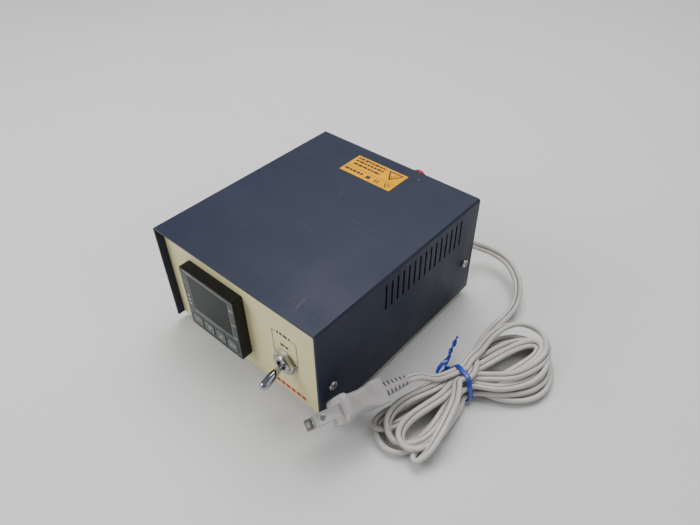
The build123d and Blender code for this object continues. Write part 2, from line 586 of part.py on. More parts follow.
LABEL_X, LABEL_Y, LABEL_T = (-24.0, 17.5), (44.0, 64.8), 0.15
with BuildPart() as caution_label:
    brick(LABEL_X, LABEL_Y, (COVER_Z1, COVER_Z1 + LABEL_T))
save(caution_label, "caution_label")

# ---- mains cord ------------------------------------------------------------------------------

BUSH_END = REAR_Y + 13.0
exit_plane = Plane((EXIT_X, REAR_Y, EXIT_Z), x_dir=(-1, 0, 0), z_dir=(0, 1, 0))
with BuildPart() as cord_bush:
    with BuildSketch(exit_plane):
        Circle(8.2)
    extrude(amount=2.2)
    with BuildSketch(exit_plane):
        Circle(6.2)
    extrude(amount=-9)
    with BuildSketch(exit_plane.offset(2.2)):
        Circle(6.3)
    with BuildSketch(exit_plane.offset(BUSH_END - REAR_Y)):
        Circle(4.3)
    loft(ruled=True)
save(cord_bush, "cord_bush")

CORD_R = CORD_W / 2
FLOOR = CORD_R + 0.02                           # centre line of a cord lying on the bench
HANK_IN = (100.7, 49.0)                         # where the lead goes into the hank
TIE_AT = (109.0, 0.0)                           # middle of the hank's tied waist
TIE_HEADING = 66.5                              # direction of the waist, degrees from +X
WAIST_W, WAIST_L, WAIST_TOP, WAIST_LOW = 22.0, 13.0, 17.6, 0.8
OUT_Z = 14.2                                    # tail's height as it leaves the waist
along = Vector(cos(radians(TIE_HEADING)), sin(radians(TIE_HEADING)), 0)
sideways = Vector(along.Y, -along.X, 0)
waist_out = Vector(*TIE_AT, OUT_Z) - along * WAIST_L / 2 - sideways * 3.1

LEAD = [
    (EXIT_X, BUSH_END, EXIT_Z),
    (50.2, 95.0, 22.6),
    (55.0, 103.5, 16.5),
    (64.5, 108.3, 14.0),
    (77.0, 107.0, 13.6),
    (88.5, 99.5, 13.6),
    (97.6, 89.5, 12.2),
    (102.6, 78.0, 7.6),
    (102.3, 67.0, 4.3),
    (HANK_IN[0], 57.5, FLOOR),
    (HANK_IN[0], HANK_IN[1], FLOOR),
]

PLUG_HEADING, PLUG_PITCH, PLUG_ROLL = -105.8, 8.0, 60.0     # blades' direction, degrees
PLUG_FACE = (78.0, -72.8, 28.2)                 # middle of the face that the blades leave
PLUG_LEN, RELIEF_LEN = 27.4, 18.2
heading, pitch, roll = radians(PLUG_HEADING), radians(PLUG_PITCH), radians(PLUG_ROLL)
blades_dir = Vector(cos(pitch) * cos(heading), cos(pitch) * sin(heading), sin(pitch))
level_dir = Vector(0, 0, 1).cross(blades_dir).normalized()
rise_dir = blades_dir.cross(level_dir)
gap_dir = level_dir * cos(roll) + rise_dir * sin(roll)
plug_plane = Plane(PLUG_FACE, x_dir=gap_dir, z_dir=-blades_dir)
relief_end = Vector(*PLUG_FACE) - blades_dir * (PLUG_LEN + RELIEF_LEN)

TAIL = [
    tuple(waist_out),
    tuple(waist_out - along * 9),
    tuple(relief_end - blades_dir * 9),
    tuple(relief_end),
]


def corner_radii(points):
    """The largest arcs that share each run of a route between its two ends."""
    radii = []
    for before, corner, after in zip(points, points[1:], points[2:]):
        run_in = Vector(*corner) - Vector(*before)
        run_out = Vector(*after) - Vector(*corner)
        half_turn = radians(run_in.get_angle(run_out)) / 2
        radii.append(0.45 * min(run_in.length, run_out.length) / tan(half_turn))
    return radii


def cord_tube(points, name):
    """A round tube along straight runs joined by tangent arcs."""
    radii = corner_radii(points)
    with BuildLine() as path:
        FilletPolyline(*points, radius=radii)
    start = Plane(points[0], z_dir=Vector(*points[1]) - Vector(*points[0]))
    with BuildPart() as tube:
        with BuildSketch(start):
            Circle(CORD_R)
        sweep(path=path.wires()[0])
    expected = pi * CORD_R ** 2 * path.wires()[0].length
    print(name, "length", round(path.wires()[0].length, 1), "radii", [round(r, 1) for r in radii],
          "volume ratio", round(tube.part.volume / expected, 4))
    save(tube, name)


cord_tube(LEAD, "cord_lead")
cord_tube(TAIL, "cord_tail")

# The hank: a low fan of loops at each end, and a taller waist where it is tied.
FRONT_TOP, REAR_TOP = 10.6, 16.0
waist_plane = Plane((TIE_AT[0], TIE_AT[1], 0), x_dir=sideways, z_dir=(0, 0, 1))
FRONT_FAN = ((109, -4, 10), (95, -56, 9), (105, -60, 9), (116, -60, 9), (120, -40, 7))
REAR_FAN = ((111, 4, 9), (108.5, 37, 7), (123, 54, 13), (135, 50, 12), (141, 29, 11))
with BuildPart() as cord_hank:
    with BuildSketch():
        for x, y, radius in FRONT_FAN:
            with Locations((x, y)):
                Circle(radius)
        make_hull()
    extrude(amount=FRONT_TOP)
    with BuildSketch():
        for x, y, radius in REAR_FAN:
            with Locations((x, y)):
                Circle(radius)
        make_hull()
    extrude(amount=REAR_TOP)
    brick((96.5, 105.0), (28.0, HANK_IN[1]), (0, 2 * CORD_W))
    with BuildSketch(waist_plane):
        Rectangle(60, 9)
    extrude(amount=30, mode=Mode.SUBTRACT)
    with BuildSketch(waist_plane.offset(WAIST_LOW)):
        RectangleRounded(WAIST_W, WAIST_L, 3)
    extrude(amount=WAIST_TOP - WAIST_LOW)
    with BuildSketch(waist_plane.offset(WAIST_LOW)):
        Rectangle(WAIST_W - 1, 9.4)
    extrude(amount=FRONT_TOP - WAIST_LOW)
save(cord_hank, "cord_hank")

TIE_T, TIE_W = 0.55, 2.7
tie_plane = Plane((TIE_AT[0], TIE_AT[1], (WAIST_TOP + WAIST_LOW) / 2), x_dir=sideways, z_dir=along)
TIE_TAIL = [(98.2, 4.7, 8.0), (94.6, 9.5, 8.0), (92.6, 16.0, 9.5), (91.0, 22.5, 10.0)]
with BuildPart() as cord_tie:
    with BuildSketch(tie_plane.offset(-TIE_W / 2)):
        band = WAIST_TOP - WAIST_LOW + 0.1
        Rectangle(WAIST_W + 0.1 + 2 * TIE_T, band + 2 * TIE_T)
        Rectangle(WAIST_W + 0.1, band, mode=Mode.SUBTRACT)
    extrude(amount=TIE_W)
    for start, end in zip(TIE_TAIL, TIE_TAIL[1:]):
        run = Vector(*end) - Vector(*start)
        with BuildSketch(Plane(start, z_dir=run)):
            Circle(1.1)
        extrude(amount=run.length)
        with Locations(end):
            Sphere(1.1)
save(cord_tie, "cord_tie")

# ---- plug -----------------------------------------------------------------------------------

FLANGE_W, FLANGE_H, FLANGE_T = 24.6, 14.6, 3.3
with BuildPart() as plug_body:
    with BuildSketch(plug_plane):
        RectangleRounded(FLANGE_W, FLANGE_H, 3.2)
    extrude(amount=FLANGE_T)
    for z, w, h in ((FLANGE_T, 15.4, 13.2), (10.0, 14.4, 11.6), (19.0, 16.8, 11.8), (PLUG_LEN, 16.4, 11.2)):
        with BuildSketch(plug_plane.offset(z)):
            RectangleRounded(w, h, 2.6)
    loft(ruled=True)
save(plug_body, "plug_body")

with BuildPart() as plug_strain_relief:
    for z, w, h in ((PLUG_LEN, 10.0, 8.4), (PLUG_LEN + RELIEF_LEN, 8.0, 5.6)):
        with BuildSketch(plug_plane.offset(z)):
            RectangleRounded(w, h, 2.0)
    loft(ruled=True)
save(plug_strain_relief, "plug_strain_relief")

with BuildPart() as plug_blades:
    for side in (-1, 1):
        with BuildSketch(plug_plane):
            with Locations((side * BLADE_GAP / 2, 0)):
                Rectangle(BLADE_T, BLADE_W)
        extrude(amount=-BLADE_L)
    chamfer(plug_blades.faces().sort_by(Axis(PLUG_FACE, tuple(blades_dir)))[-2:].edges(), 0.45)
    with BuildSketch(Plane(PLUG_FACE, x_dir=-blades_dir, z_dir=gap_dir)):
        with Locations((-11.8, 0)):
            Circle(1.55)
    extrude(amount=20, both=True, mode=Mode.SUBTRACT)
save(plug_blades, "plug_blades")
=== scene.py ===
"""The looks of the bench temperature controller, over its CAD frame.

Points and sizes of the object are in millimetres, as in the CAD, and MM turns them into metres.
The cord's sampled line and skin, the textures, the floor and the lamps are in metres."""
import bpy
import json
import numpy as np
from math import cos, pi, radians, sin
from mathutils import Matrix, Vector


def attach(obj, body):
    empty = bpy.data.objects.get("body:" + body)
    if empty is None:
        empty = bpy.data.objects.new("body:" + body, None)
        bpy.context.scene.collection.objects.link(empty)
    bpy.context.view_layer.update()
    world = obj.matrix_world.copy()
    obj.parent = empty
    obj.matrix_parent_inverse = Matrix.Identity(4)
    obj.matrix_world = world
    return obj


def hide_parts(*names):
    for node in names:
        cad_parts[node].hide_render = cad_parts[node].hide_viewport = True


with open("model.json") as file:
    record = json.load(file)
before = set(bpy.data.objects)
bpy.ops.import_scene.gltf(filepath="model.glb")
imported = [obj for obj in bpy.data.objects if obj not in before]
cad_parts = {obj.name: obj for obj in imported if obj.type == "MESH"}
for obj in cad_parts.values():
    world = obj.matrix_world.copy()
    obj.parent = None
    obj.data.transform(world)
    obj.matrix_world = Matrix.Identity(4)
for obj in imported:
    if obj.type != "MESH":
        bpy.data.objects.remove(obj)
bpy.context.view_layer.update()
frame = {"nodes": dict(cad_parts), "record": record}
nodes = frame["nodes"]
MM = 0.001

# ---- the object's own dimensions, mm, as in the CAD ----------------------------------

COVER_TOP, LABEL_T = 79.1, 0.15
FRONT_Y, REAR_Y = -69.6, 72.4
CONTROLLER_X, CONTROLLER_Z = -18.5, 40.0
GASKET_T, BEZEL_DEPTH, FACE_SUNK = 0.5, 7.0, 0.1
FACE_Y = FRONT_Y - GASKET_T - BEZEL_DEPTH + FACE_SUNK
KEY_PITCH, KEY_V, KEY_PROUD = 10.8, -16.5, 0.3
LABEL_X = (-24.0, 17.5)
CORD_W, CORD_T = 6.2, 3.1
EXIT = (50.0, 85.4, 24.0)                   # where the cord leaves its bush
PLUG_FACE = Vector((78.0, -72.8, 28.2))     # middle of the face that the blades leave
PLUG_LEN, RELIEF_LEN = 27.4, 18.2


# ---- materials ---------------------------------------------------------------------------

GRAIN_DEPTH = 0.00004
COAT_ROUGHNESS = 0.15
SCRATCH_ANGLES = (0.5, -0.9, 1.9)
SCRATCH_STRETCH = (18, 900, 60)


def surface(name, color, rough=0.5, metal=0.0, shade=0.10, patch=40.0, grain=1500.0, bump=0.15,
            rough_vary=0.10, dirt=0.0, dirt_color=(0.10, 0.08, 0.06), scratches=0.0,
            scratch_color=(0.5, 0.5, 0.5), coat=0.0, specular=0.5):
    """A procedural finish: patchy colour, uneven roughness, fine grain, dirt and scratches."""
    m = bpy.data.materials.new(name)
    m.use_nodes = True
    n, link = m.node_tree.nodes, m.node_tree.links.new
    bsdf = n["Principled BSDF"]
    bsdf.inputs["Metallic"].default_value = metal
    bsdf.inputs["Coat Weight"].default_value = coat
    bsdf.inputs["Coat Roughness"].default_value = COAT_ROUGHNESS
    bsdf.inputs["Specular IOR Level"].default_value = specular
    where = n.new("ShaderNodeTexCoord").outputs["Object"]

    def noise(scale, detail=4.0, stretch=(1, 1, 1), turn=0.0, seed=0.0):
        vector = where
        if seed:
            mapping = n.new("ShaderNodeMapping")
            mapping.inputs["Location"].default_value = (seed, seed * 0.7, seed * 1.3)
            mapping.inputs["Scale"].default_value = stretch
            mapping.inputs["Rotation"].default_value = (0, 0, turn)
            link(where, mapping.inputs["Vector"])
            vector = mapping.outputs["Vector"]
        t = n.new("ShaderNodeTexNoise")
        t.inputs["Scale"].default_value = scale
        t.inputs["Detail"].default_value = detail
        link(vector, t.inputs["Vector"])
        return t.outputs["Fac"]

    def ranged(source, low, high, to_low, to_high):
        r = n.new("ShaderNodeMapRange")
        r.inputs["From Min"].default_value = low
        r.inputs["From Max"].default_value = high
        r.inputs["To Min"].default_value = to_low
        r.inputs["To Max"].default_value = to_high
        link(source, r.inputs["Value"])
        return r.outputs["Result"]

    def mixed(factor, a, b):
        x = n.new("ShaderNodeMix")
        x.data_type = "RGBA"
        link(factor, x.inputs["Factor"])
        for key, value in (("A", a), ("B", b)):
            socket = [s for s in x.inputs if s.name == key and s.type == "RGBA"][0]
            if isinstance(value, tuple):
                socket.default_value = (*value, 1)
            else:
                link(value, socket)
        return [s for s in x.outputs if s.type == "RGBA"][0]

    dark = tuple(c * (1 - shade) for c in color)
    light = tuple(min(1, c * (1 + shade)) for c in color)
    patches = noise(patch)
    tint = mixed(ranged(patches, 0.35, 0.65, 0, 1), dark, light)
    sheen = noise(patch * 2.2, seed=3.1)
    roughness = ranged(sheen, 0.3, 0.7, rough - rough_vary, rough + rough_vary)
    if dirt:
        smudge = ranged(noise(patch * 1.6, detail=8, seed=5.3), 0.52, 0.78, 0, dirt)
        tint = mixed(smudge, tint, dirt_color)
    if scratches:
        for angle in SCRATCH_ANGLES:
            thin = noise(1.0, detail=2, stretch=SCRATCH_STRETCH, turn=angle, seed=angle * 4)
            mask = ranged(thin, 0.70, 0.76, 0, scratches)
            tint = mixed(mask, tint, scratch_color)
    link(tint, bsdf.inputs["Base Color"])
    link(roughness, bsdf.inputs["Roughness"])
    b = n.new("ShaderNodeBump")
    b.inputs["Strength"].default_value = bump
    b.inputs["Distance"].default_value = GRAIN_DEPTH
    link(noise(grain, detail=3), b.inputs["Height"])
    link(b.outputs["Normal"], bsdf.inputs["Normal"])
    return m


PAINT = surface("cover_paint", (0.020, 0.026, 0.050), 0.46, shade=0.06, patch=14, grain=1300,
                bump=0.30, dirt=0.08, dirt_color=(0.08, 0.08, 0.09), scratches=0.12,
                scratch_color=(0.16, 0.17, 0.20), specular=0.22)
CREAM = surface("panel_paint", (0.80, 0.73, 0.38), 0.42, shade=0.03, patch=22, grain=1400,
                bump=0.25, dirt=0.22, dirt_color=(0.30, 0.25, 0.16), scratches=0.15,
                scratch_color=(0.3, 0.27, 0.2))
NICKEL = surface("nickel", (0.52, 0.51, 0.47), 0.24, 1.0, shade=0.05, patch=120, dirt=0.2,
                 dirt_color=(0.25, 0.23, 0.2), bump=0.05, rough_vary=0.06)
CHROME = surface("chrome", (0.74, 0.73, 0.71), 0.12, 1.0, shade=0.06, patch=300, dirt=0.2,
                 bump=0.05)
BAT_CHROME = surface("bat_chrome", (0.40, 0.41, 0.46), 0.10, 1.0, shade=0.10, patch=260,
                     dirt=0.25, bump=0.04, rough_vary=0.04)
BLADE_METAL = surface("blade_metal", (0.66, 0.64, 0.62), 0.16, 1.0, shade=0.05, patch=160,
                      grain=600, dirt=0.10, dirt_color=(0.35, 0.3, 0.26), bump=0.01, rough_vary=0.03)
BRASS = surface("brass", (0.70, 0.49, 0.20), 0.32, 1.0, shade=0.12, patch=200, dirt=0.4)
ALUMINIUM = surface("aluminium", (0.60, 0.60, 0.61), 0.38, 1.0, shade=0.08, patch=120, dirt=0.3)
RUBBER = surface("black_rubber", (0.018, 0.018, 0.018), 0.72, shade=0.25, patch=120, grain=2500,
                 bump=0.4, dirt=0.3, dirt_color=(0.12, 0.11, 0.1))
BLACK = surface("black_plastic", (0.009, 0.009, 0.010), 0.5, shade=0.2, patch=90, grain=3000,
                bump=0.25, dirt=0.15, dirt_color=(0.05, 0.05, 0.05), specular=0.25)
FILM = surface("face_film", (0.022, 0.032, 0.033), 0.38, shade=0.08, patch=60, grain=2500,
               bump=0.12, dirt=0.15, dirt_color=(0.15, 0.15, 0.14))
KEY_FILM = surface("key_film", (0.075, 0.088, 0.085), 0.45, shade=0.12, patch=120, grain=2500,
                   bump=0.12, dirt=0.35, dirt_color=(0.16, 0.16, 0.15))
LENS = surface("display_glass", (0.003, 0.008, 0.006), 0.16, shade=0.2, patch=90, bump=0.02,
               rough_vary=0.05, specular=0.10)
PLUG_VINYL = surface("plug_vinyl", (0.47, 0.435, 0.43), 0.34, shade=0.07, patch=60, grain=2200,
                     bump=0.18, dirt=0.35, dirt_color=(0.26, 0.22, 0.20), specular=0.35)
DISPLAY = surface("display_grey", (0.05, 0.055, 0.055), 0.5, patch=200)
BOARD = surface("circuit_board", (0.015, 0.10, 0.04), 0.4, patch=150, dirt=0.2)
PHENOLIC = surface("phenolic", (0.045, 0.028, 0.018), 0.4, patch=100, dirt=0.2)
AMBER = surface("amber_label", (0.88, 0.40, 0.0), 0.60, shade=0.05, patch=70, grain=2000,
                bump=0.08, dirt=0.10, dirt_color=(0.5, 0.2, 0.0), specular=0.05)
RELAY = surface("cream_plastic", (0.55, 0.52, 0.43), 0.45, patch=60, dirt=0.2)
GLASS = surface("fuse_glass", (0.6, 0.63, 0.62), 0.1, patch=200)
RED = surface("red_plastic", (0.42, 0.012, 0.012), 0.3, shade=0.12, patch=150, dirt=0.2, coat=0.2)
CORD = surface("cord_grey", (0.60, 0.57, 0.53), 0.38, shade=0.06, patch=45, grain=2600,
               bump=0.12, dirt=0.30, dirt_color=(0.32, 0.28, 0.24))
# a much darker cord colour for the groove between the two cores: painted shade in the groove, with
# some dirt
GROOVE_DIRT_AND_SHADE = surface("cord_groove_dirt_and_shade", (0.20, 0.175, 0.155), 0.55, shade=0.15, patch=80, grain=2600,
                 bump=0.12)
BLUE = surface("blue_vinyl", (0.012, 0.055, 0.42), 0.25, shade=0.2, patch=250, bump=0.2, coat=0.5)
WHITE_INK = surface("light_ink", (0.42, 0.45, 0.43), 0.5, shade=0.15, patch=400)
DARK_INK = surface("dark_ink", (0.022, 0.020, 0.018), 0.45, shade=0.3, patch=400)
WORN = surface("worn_paint", (0.17, 0.16, 0.17), 0.6, shade=0.4, patch=500)
RED_INK = surface("red_ink", (0.50, 0.022, 0.028), 0.42, shade=0.18, patch=400)
BROWN_INK = surface("brown_ink", (0.035, 0.012, 0.004), 0.5, shade=0.3, patch=500)

FINISH = {
    "cover_paint": PAINT, "panel_paint": CREAM, "nickel": NICKEL, "chrome": CHROME, "brass": BRASS,
    "aluminium": ALUMINIUM, "black_rubber": RUBBER, "black_plastic": BLACK, "face_film": FILM,
    "key_film": KEY_FILM, "display_glass": LENS, "display_grey": DISPLAY, "circuit_board": BOARD,
    "phenolic": PHENOLIC, "amber_label": AMBER, "cream_plastic": RELAY, "fuse_glass": GLASS,
    "red_plastic": RED, "cord_grey": CORD, "blue_vinyl": BLUE,
}
for part in frame["record"]["subparts"]:
    node = nodes[part["node"]]
    node.data.materials.clear()
    node.data.materials.append(FINISH[part["material_slot"]])
nodes["toggle_lever"].data.materials[0] = BAT_CHROME
nodes["plug_blades"].data.materials[0] = BLADE_METAL


# ---- mesh helpers ---------------------------------------------------------------------------

def mesh_object(name, verts, faces, material, body="case", smooth=False):
    """A mesh from millimetre points, riding on a CAD body."""
    data = bpy.data.meshes.new(name)
    data.from_pydata([tuple(c * MM for c in v) for v in verts], [], faces)
    data.update()
    if smooth:
        data.shade_smooth()
    data.materials.append(material)
    obj = bpy.data.objects.new(name, data)
    bpy.context.scene.collection.objects.link(obj)
    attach(obj, body)
    return obj


def marks(name, shapes, origin, right, up, material, body="case", thick=0.05):
    """Thin printed shapes, each a list of (u, v) corners in mm, on the plane at origin."""
    origin, right, up = Vector(origin), Vector(right), Vector(up)
    out = right.cross(up) * thick
    verts, faces = [], []
    for shape in shapes:
        k, count = len(verts), len(shape)
        flat = [origin + right * u + up * v for u, v in shape]
        verts += flat + [p + out for p in flat]
        faces.append(tuple(range(k + count, k + 2 * count)))
        for i in range(count):
            j = (i + 1) % count
            faces.append((k + i, k + j, k + count + j, k + count + i))
    return mesh_object(name, verts, faces, material, body)


def bar(u0, u1, v0, v1):
    """A rectangle between two values of u and two of v."""
    return [(u0, v0), (u1, v0), (u1, v1), (u0, v1)]


def words(u0, u1, v, height, rng_seed, gap=0.45):
    """A row of short plain dashes that stands for a line of print."""
    pick = np.random.default_rng(rng_seed)
    shapes, u = [], u0
    while u < u1 - 0.4:
        width = min(pick.uniform(0.7, 1.9) * height, u1 - u)
        shapes.append(bar(u, u + width, v - height / 2, v + height / 2))
        u += width + gap * height
    return shapes


# ---- printed marks ---------------------------------------------------------------------------

X, Y, Z = (1, 0, 0), (0, 1, 0), (0, 0, 1)

INK_LIFT = 0.01        # print starts this far off the surface under it


def switch_outline(left=27.3, right=46.4, top=54.4, corner=1.8, line=0.45):
    """The line round the switch, open at the bottom and with a gap at the top for its caption."""
    x, z = right - corner, top - corner
    bearings = np.linspace(0, pi / 2, 8)
    outside = [(x + corner * sin(a), z + corner * cos(a)) for a in bearings]
    inside = [(x + (corner - line) * sin(a), z + (corner - line) * cos(a)) for a in bearings]
    return [bar(left, left + line, 35.5, top),
            bar(left, 30.2, top - line, top),
            bar(42.6, x, top - line, top),
            bar(right - line, right, 34.6, z),
            bar(44.2, right, 34.6, 34.6 + line),
            *[[outside[i + 1], outside[i], inside[i], inside[i + 1]] for i in range(7)]]


panel = (0, FRONT_Y - INK_LIFT, 0)
captions = words(31.2, 41.8, 54.6, 1.9, 3) + words(33.4, 39.6, 46.0, 1.9, 5)
blocks = [bar(25.5 + 4.25 * i, 28.9 + 4.25 * i, 7.9, 10.9) for i in range(6)]
marks("switch_outline", switch_outline(), panel, X, Z, DARK_INK)
marks("switch_captions", captions, panel, X, Z, DARK_INK)
marks("maker_strip", blocks, panel, X, Z, RED_INK)

# a plus and a minus beside the rear terminals, seen from behind
rear_panel = (0, REAR_Y + INK_LIFT, 0)
minus = bar(-2.6, 0.6, 44.7, 45.2)
plus = [bar(-2.6, 0.6, 63.8, 64.3), bar(-1.25, -0.75, 62.4, 65.7)]
marks("rear_signs", [*plus, minus], rear_panel, (-1, 0, 0), Z, DARK_INK)


# the amber label: a rule, two warning triangles, one with a bolt, and rows of plain dashes
def hollow(corners, share):
    """The outline of a shape, one strip per side, this share of the way to its middle wide."""
    middle = np.mean(corners, axis=0)
    inside = [tuple(middle + (np.array(c) - middle) * (1 - share)) for c in corners]
    return [[corners[k], corners[k - 1], inside[k - 1], inside[k]] for k in range(len(corners))]


rule = [bar(LABEL_X[0] + 0.4, LABEL_X[1] - 0.4, 51.2, 51.5)]
warning = hollow([(3.6, 63.2), (15.7, 63.2), (9.5, 53.4)], 0.30)
bolt = [[(9.0, 55.9), (9.9, 58.8), (8.6, 58.6)], [(9.3, 58.2), (10.9, 61.6), (10.0, 58.6)]]
small_warning = hollow([(9.9, 49.5), (15.0, 49.5), (12.6, 45.2)], 0.4)
rows = []
for row, y in enumerate((62.4, 59.0, 55.2)):
    rows += words(-22.2 + row * 0.6, 1.4, y, 2.0, 11 + row, gap=0.35)
rows += words(-22.4, -7.2, 48.0, 2.1, 17, gap=0.3)
rows += [bar(-4.2, -0.8, 46.0, 49.2), bar(3.0, 3.9, 46.0, 49.4),
         bar(4.4, 6.8, 46.4, 47.2), bar(4.4, 6.8, 48.2, 49.0)]
label = (0, 0, COVER_TOP + LABEL_T + INK_LIFT)
marks("label_print", rule + warning + bolt + small_warning + rows, label, X, Y, BROWN_INK)

# chips and hair scratches in the cover's paint
chips = [[(23.8, 66.8), (24.8, 67.0), (24.5, 67.9), (23.6, 67.7)],
         [(-25.4, -37.3), (-24.8, -37.2), (-25.0, -36.7)],
         [(56.8, -66.0), (57.3, -65.9), (57.1, -65.4)],
         [(-61.8, 22.0), (-61.3, 22.1), (-61.5, 22.5)]]
scuffs = [[(46.35, -69.4), (46.45, -69.4), (44.2, -57.2), (44.08, -57.2)],
          [(45.0, -66.0), (45.08, -66.0), (43.6, -58.6), (43.52, -58.6)],
          [(-3.0, 20.0), (-2.92, 20.0), (-4.4, 27.0), (-4.48, 27.0)]]
marks("cover_wear", chips + scuffs, (0, 0, COVER_TOP), X, Y, WORN, thick=0.02)

# controller: light print beside the window and on the keys
front = (CONTROLLER_X, FACE_Y - INK_LIFT, CONTROLLER_Z)
legend = [bar(-17.2, 18.8, 21.3, 21.55), bar(18.95, 19.15, -6.5, 21.5),
          bar(-20.8, -12.5, 22.1, 22.6)]
for v in (2.0, -1.6, -5.0):
    legend += words(-22.2, -19.4, v, 1.3, int(v * 10) + 90)
for v in (16.0, 4.0, -7.0):
    legend += words(19.6, 22.3, v, 1.1, int(v) + 40)
legend += [bar(-17.2, 18.8, -8.3, -8.1)] + words(-17, 8, -9.6, 0.5, 23, gap=1.2)
marks("controller_print", legend, front, X, Z, WHITE_INK)

key_frame = [bar(-3.4, 3.4, 2.6, 2.8), bar(-3.4, 3.4, -2.8, -2.6),
             bar(-3.4, -3.2, -2.6, 2.6), bar(3.2, 3.4, -2.6, 2.6)]
key_signs = {
    "mode_key": words(-2.4, 2.4, 0, 1.3, 31),
    "down_key": [[(-1.8, 1.1), (0, -1.5), (1.8, 1.1)]],
    "up_key": [[(-1.8, -1.1), (1.8, -1.1), (0, 1.5)]],
    "set_key": words(-2.4, 2.4, 0, 1.3, 37),
}
for place, (key, sign) in enumerate(key_signs.items()):
    key_front = (CONTROLLER_X + KEY_PITCH * (place - 1.5), FACE_Y - KEY_PROUD - INK_LIFT,
                 CONTROLLER_Z + KEY_V)
    marks(key + "_print", key_frame + sign, key_front, X, Z, WHITE_INK, body=key, thick=0.03)

# ---- camera ----------------------------------------------------------------------------------

CAMERA_PLACE = Vector((203.173, -201.461, 293.213))
CAMERA_TILT, CAMERA_ROLL, CAMERA_HEADING = radians(48.257), radians(0.660), radians(41.169)
cam = bpy.data.cameras.new("camera")
cam.lens = 30.273
cam.sensor_width = 36.0
cam.clip_start = 0.01
camera = bpy.data.objects.new("camera", cam)
camera.location = CAMERA_PLACE * MM
camera.rotation_euler = (CAMERA_TILT, CAMERA_ROLL, CAMERA_HEADING)
bpy.context.scene.collection.objects.link(camera)
bpy.context.scene.camera = camera

# ---- cord ------------------------------------------------------------------------------------

LEAD = [EXIT, (50.2, 95.0, 22.6), (55.0, 103.5, 16.5), (64.5, 108.3, 14.0), (77.0, 107.0, 13.6),
        (88.5, 99.5, 13.6), (97.6, 89.5, 12.2), (102.6, 78.0, 7.6), (102.3, 67.0, 4.3),
        (100.7, 57.5, 3.12), (100.7, 49.0, 3.12)]

# the plug's axes: the way the blades point, and the way from one blade to the other
heading, pitch, roll = radians(-105.8), radians(8.0), radians(60.0)
BLADES = Vector((cos(pitch) * cos(heading), cos(pitch) * sin(heading), sin(pitch)))
level = Vector((0, 0, 1)).cross(BLADES).normalized()
GAP = level * cos(roll) + BLADES.cross(level) * sin(roll)
relief_end = PLUG_FACE - BLADES * (PLUG_LEN + RELIEF_LEN)

# the hank's tie, the way the hank lies and the way across it
TIE = Vector((109.0, 0.0, 0.0))
ALONG = Vector((cos(radians(66.5)), sin(radians(66.5)), 0))
SIDE = Vector((ALONG.y, -ALONG.x, 0))

# where each pass of the cord goes through the tie: (mm sideways, mm above the bench)
PASSES = [(3.4, 14.4), (8.2, 5.8), (-1.4, 6.3), (-3.0, 2.7), (3.2, 2.7), (-7.4, 5.8),
          (6.8, 9.8), (-5.0, 10.0), (3.6, 6.6), (0.8, 10.4), (-2.9, 14.4)]

# the turns, alternately to the front and to the rear of the tie
FRONT_TURNS = [
    [(116.5, -14, 15), (119, -27, 13), (121.5, -40, 11.5), (122.5, -52, 8), (121, -61, 5),
     (117, -62, 4), (115.5, -55, 4), (117, -44, 4), (118, -30, 5), (117, -16, 6)],
    [(107, -20, 6), (100, -40, 5), (95, -55, 5), (91, -60, 5.5), (87.5, -58, 7), (89, -50, 7.5),
     (94, -34, 8), (101, -16, 8.5)],
    [(115, -20, 5), (115, -38, 3.5), (114, -52, 3), (109, -61, 3), (100, -63, 3), (92, -57, 3.5),
     (89, -46, 4), (92, -30, 5), (98, -14, 6)],
    [(115, -16, 9), (116, -32, 7), (115, -46, 6), (110, -56, 5.5), (103, -58, 5.5), (95, -55, 6.5),
     (91, -48, 9), (92, -38, 11), (98, -26, 12.5), (105, -12, 13)],
    [(117.5, -18, 9), (120, -34, 7), (120.5, -45, 6.5), (118, -54, 6.5), (112, -58, 6.5),
     (105, -57, 7), (101, -51, 8), (102, -42, 10), (106, -30, 12), (111, -14, 13)],
]
REAR_TURNS = [
    [(132, 9, 7), (143, 22, 6.5), (147, 34, 6.5), (144, 44, 6), (136, 54, 6), (125, 57, 6),
     (115, 48, 6), (109, 34, 6), (109, 18, 6)],
    [(107, 16, 3), (105, 32, 3), (108, 46, 3), (118, 57, 3), (132, 58, 3), (143, 48, 3),
     (149, 34, 3), (147, 20, 3), (134, 8, 3.5)],
    [(111, 18, 10), (113, 32, 9), (119, 46, 9), (128, 56, 9), (139, 52, 9), (143, 42, 9),
     (143, 31, 9), (139, 20, 9), (130, 8, 10)],
    [(115, 17, 13), (119.5, 32, 12.5), (124.5, 46, 12.5), (130, 54, 12.5), (136, 53, 12.5),
     (137.5, 44, 12.5), (133, 29, 12), (125, 12, 10)],
    [(132, 18, 13), (138, 36, 12), (140, 46, 12), (137, 56, 12.5), (128, 63, 13), (116, 61, 13),
     (108, 50, 13), (106, 34, 13), (109, 16, 14)],
]


def through_tie(index):
    """Three points of one pass: odd ones go to the rear, even ones to the front."""
    sideways, z = PASSES[index]
    way = 1 if index % 2 else -1
    return [TIE + SIDE * sideways + ALONG * way * d + Vector((0, 0, z)) for d in (-5, 0, 5)]


def rounded(points, step):
    """A smooth line through the points, sampled about every step."""
    pts = [Vector(p) for p in points]
    pts = [pts[0] * 2 - pts[1]] + pts + [pts[-1] * 2 - pts[-2]]
    line = []
    for a, b, c, d in zip(pts, pts[1:], pts[2:], pts[3:]):
        count = max(1, round((c - b).length / step))
        for i in range(count):
            t = i / count
            line.append(((2 * b) + (c - a) * t + (2 * a - 5 * b + 4 * c - d) * t * t
                         + (3 * b - a - 3 * c + d) * t ** 3) / 2)
    return line + [pts[-2]]


